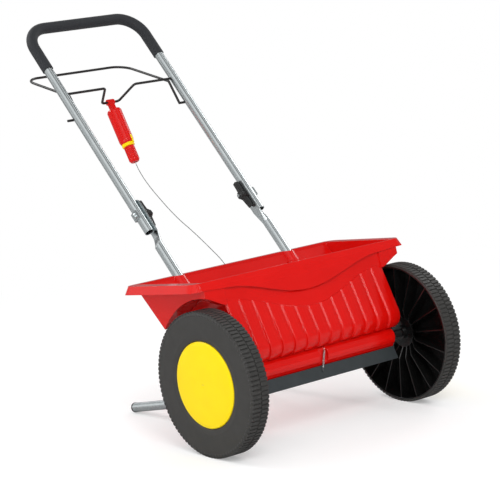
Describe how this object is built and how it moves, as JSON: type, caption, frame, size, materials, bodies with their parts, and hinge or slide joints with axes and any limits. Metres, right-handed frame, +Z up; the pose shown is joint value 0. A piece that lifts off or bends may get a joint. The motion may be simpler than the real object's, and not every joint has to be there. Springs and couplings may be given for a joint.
{
  "type": "drop spreader",
  "caption": "Walk-behind drop spreader: pleated trough hopper between lugged wheels, shutter with squeeze loop and folding U handle.",
  "frame": {"origin": "on the ground under the middle of the axle, where the line below the axle meets the ground plane", "axes": "+Z up, +Y back towards the user, +X across the machine to the free wheel's side"},
  "size_m": [0.634, 0.9731, 0.9033],
  "materials": {
    "red_moulding": "glossy red injection moulding",
    "yellow_plastic": "satin yellow injection moulding",
    "tyre_plastic": "matt charcoal hard plastic tyre",
    "black_gloss": "glossy black injection moulding",
    "black_plastic": "matt black injection moulding",
    "zinc_steel": "bright zinc plated steel",
    "wire_steel": "drawn steel wire",
    "slate_steel": "dark slate powder coat",
    "black_coat": "black powder coat",
    "grip_foam": "dark grey soft grip"
  },
  "bodies": {
    "chassis": {"hopper": "red_moulding", "left_bearing": "black_plastic", "right_bearing": "black_plastic", "left_lower_tube": "zinc_steel", "right_lower_tube": "zinc_steel", "left_foot_plug": "black_plastic", "right_foot_plug": "black_plastic", "left_low_strap": "zinc_steel", "left_high_strap": "zinc_steel", "right_low_strap": "zinc_steel", "right_high_strap": "zinc_steel", "return_spring": "zinc_steel"},
    "axle": {"axle_shaft": "zinc_steel", "agitator": "black_plastic", "drive_pin": "zinc_steel", "left_tyre": "tyre_plastic", "left_wheel_core": "black_gloss", "left_wheel_cap": "yellow_plastic", "left_retainer": "zinc_steel", "left_spacer": "black_plastic", "right_retainer": "zinc_steel", "right_spacer": "black_plastic"},
    "right_wheel": {"right_tyre": "tyre_plastic", "right_wheel_core": "black_gloss", "right_wheel_cap": "yellow_plastic"},
    "shutter": {"shutter": "slate_steel"},
    "handle": {"handle_tube": "zinc_steel", "grip_sleeve": "grip_foam", "left_fold_bolt": "zinc_steel", "right_fold_bolt": "zinc_steel", "left_saddle": "zinc_steel", "right_saddle": "zinc_steel", "control_wire": "wire_steel"},
    "left_knob": {"left_wing_knob": "black_plastic"},
    "right_knob": {"right_wing_knob": "black_plastic"},
    "bail": {"squeeze_loop": "black_coat", "crank_rod": "black_coat"},
    "adjuster": {"adjuster_eye": "red_moulding", "adjuster_barrel": "red_moulding", "adjuster_ring": "yellow_plastic"},
    "dose_dial": {"adjuster_sleeve": "red_moulding"}
  },
  "joints": [
    {"name": "axle_turn", "type": "hinge", "parent": "chassis", "child": "axle", "pos_m": [0, 0, 0.16], "axis": [1, 0, 0], "continuous": true},
    {"name": "right_wheel_turn", "type": "hinge", "parent": "axle", "child": "right_wheel", "pos_m": [0, 0, 0.16], "axis": [1, 0, 0], "continuous": true},
    {"name": "shutter_turn", "type": "hinge", "parent": "chassis", "child": "shutter", "pos_m": [0, 0, 0.16], "axis": [1, 0, 0], "range_deg": [0, 34], "deforming": ["return_spring"]},
    {"name": "handle_fold", "type": "hinge", "parent": "chassis", "child": "handle", "pos_m": [0, 0.37246, 0.4746], "axis": [1, 0, 0], "range_deg": [0, 140], "deforming": ["control_wire"]},
    {"name": "bail_squeeze", "type": "hinge", "parent": "handle", "child": "bail", "pos_m": [0, 0.62897, 0.74209], "axis": [1, 0, 0], "range_deg": [0, 34]},
    {"name": "adjuster_swing", "type": "hinge", "parent": "bail", "child": "adjuster", "pos_m": [0, 0.67257, 0.70149], "axis": [1, 0, 0], "range_deg": [-34, 0]},
    {"name": "dose_dial_turn", "type": "hinge", "parent": "adjuster", "child": "dose_dial", "pos_m": [0, 0.67257, 0.70149], "axis": [0, 0.4985, 0.8669], "range_deg": [-150, 150]},
    {"name": "left_knob_turn", "type": "hinge", "parent": "handle", "child": "left_knob", "pos_m": [-0.14, 0.37246, 0.4746], "axis": [1, 0, 0], "range_deg": [0, 360]},
    {"name": "right_knob_turn", "type": "hinge", "parent": "handle", "child": "right_knob", "pos_m": [0.14, 0.37246, 0.4746], "axis": [1, 0, 0], "range_deg": [0, 360]}
  ],
  "couplings": [
    {"joint": "shutter_turn", "follows": "bail_squeeze", "ratio": 1},
    {"joint": "adjuster_swing", "follows": "bail_squeeze", "ratio": -1}
  ]
}
